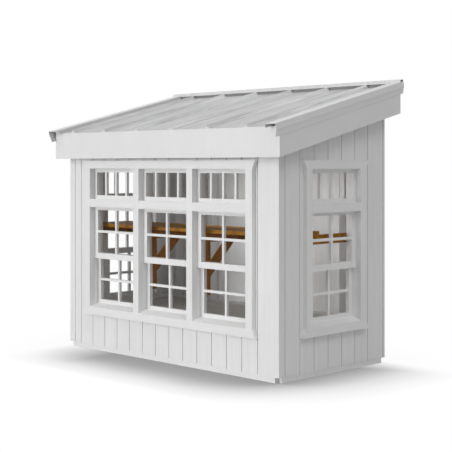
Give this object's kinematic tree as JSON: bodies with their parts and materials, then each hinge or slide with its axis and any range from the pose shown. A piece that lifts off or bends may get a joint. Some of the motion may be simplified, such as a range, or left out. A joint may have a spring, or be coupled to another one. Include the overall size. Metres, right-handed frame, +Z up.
{
  "type": "lean-to greenhouse",
  "caption": "White boarded lean-to greenhouse with tall sash windows at the front and on both sides, a ribbed metal roof and a bracketed timber shelf inside.",
  "frame": {"origin": "on the ground at the centre of the building's base", "axes": "+X to the right along the front, +Y from the front to the back, +Z up"},
  "size_m": [3.31, 1.8932, 2.7893],
  "materials": {
    "siding_paint": "painted white, faint vertical grain and a groove every 200 mm",
    "trim_paint": "smooth white paint",
    "sash_paint": "smooth white paint",
    "frame_paint": "painted white, rough sawn",
    "frame_timber": "sawn timber, weathered grey",
    "floor_boards": "sawn boards, pale grey",
    "shelf_pine": "oiled orange-brown pine",
    "clear_glass": "clear, smooth",
    "roof_metal": "pale coated steel, satin",
    "hinge_steel": "dull zinc"
  },
  "bodies": {
    "root": {"base_frame": "frame_timber", "floor_bearers": "frame_timber", "floor_joists": "frame_timber", "floor_deck": "floor_boards", "wall_beams": "frame_paint", "corner_posts": "frame_paint", "wall_studs": "frame_paint", "back_posts": "frame_paint", "wall_headers": "frame_paint", "front_siding_below": "siding_paint", "front_siding_piers": "siding_paint", "front_siding_above": "siding_paint", "side_siding_below": "siding_paint", "side_siding_piers": "siding_paint", "side_siding_above": "siding_paint", "back_siding_below": "siding_paint", "back_siding_piers": "siding_paint", "back_siding_above": "siding_paint", "front_head_casing": "trim_paint", "front_sill": "trim_paint", "front_casing_boards": "trim_paint", "side_head_casings": "trim_paint", "side_sills": "trim_paint", "side_casing_boards": "trim_paint", "transom_rails": "trim_paint", "front_transoms": "sash_paint", "front_upper_sashes": "sash_paint", "front_lower_sashes": "sash_paint", "side_transoms": "sash_paint", "side_upper_sashes": "sash_paint", "side_lower_sashes": "sash_paint", "front_glass": "clear_glass", "side_glass": "clear_glass", "back_doors": "trim_paint", "door_hinges": "hinge_steel", "back_door_casing": "trim_paint", "rafters": "frame_timber", "roof_deck": "frame_timber", "soffit": "trim_paint", "eave_fascias": "trim_paint", "rake_fascias": "trim_paint", "roof_sheet": "roof_metal", "rake_trims": "roof_metal", "high_edge_flashing": "roof_metal", "shelf_slats": "shelf_pine", "shelf_rear_rail": "shelf_pine", "shelf_brackets": "shelf_pine", "shelf_ledgers": "shelf_pine"}
  },
  "joints": []
}
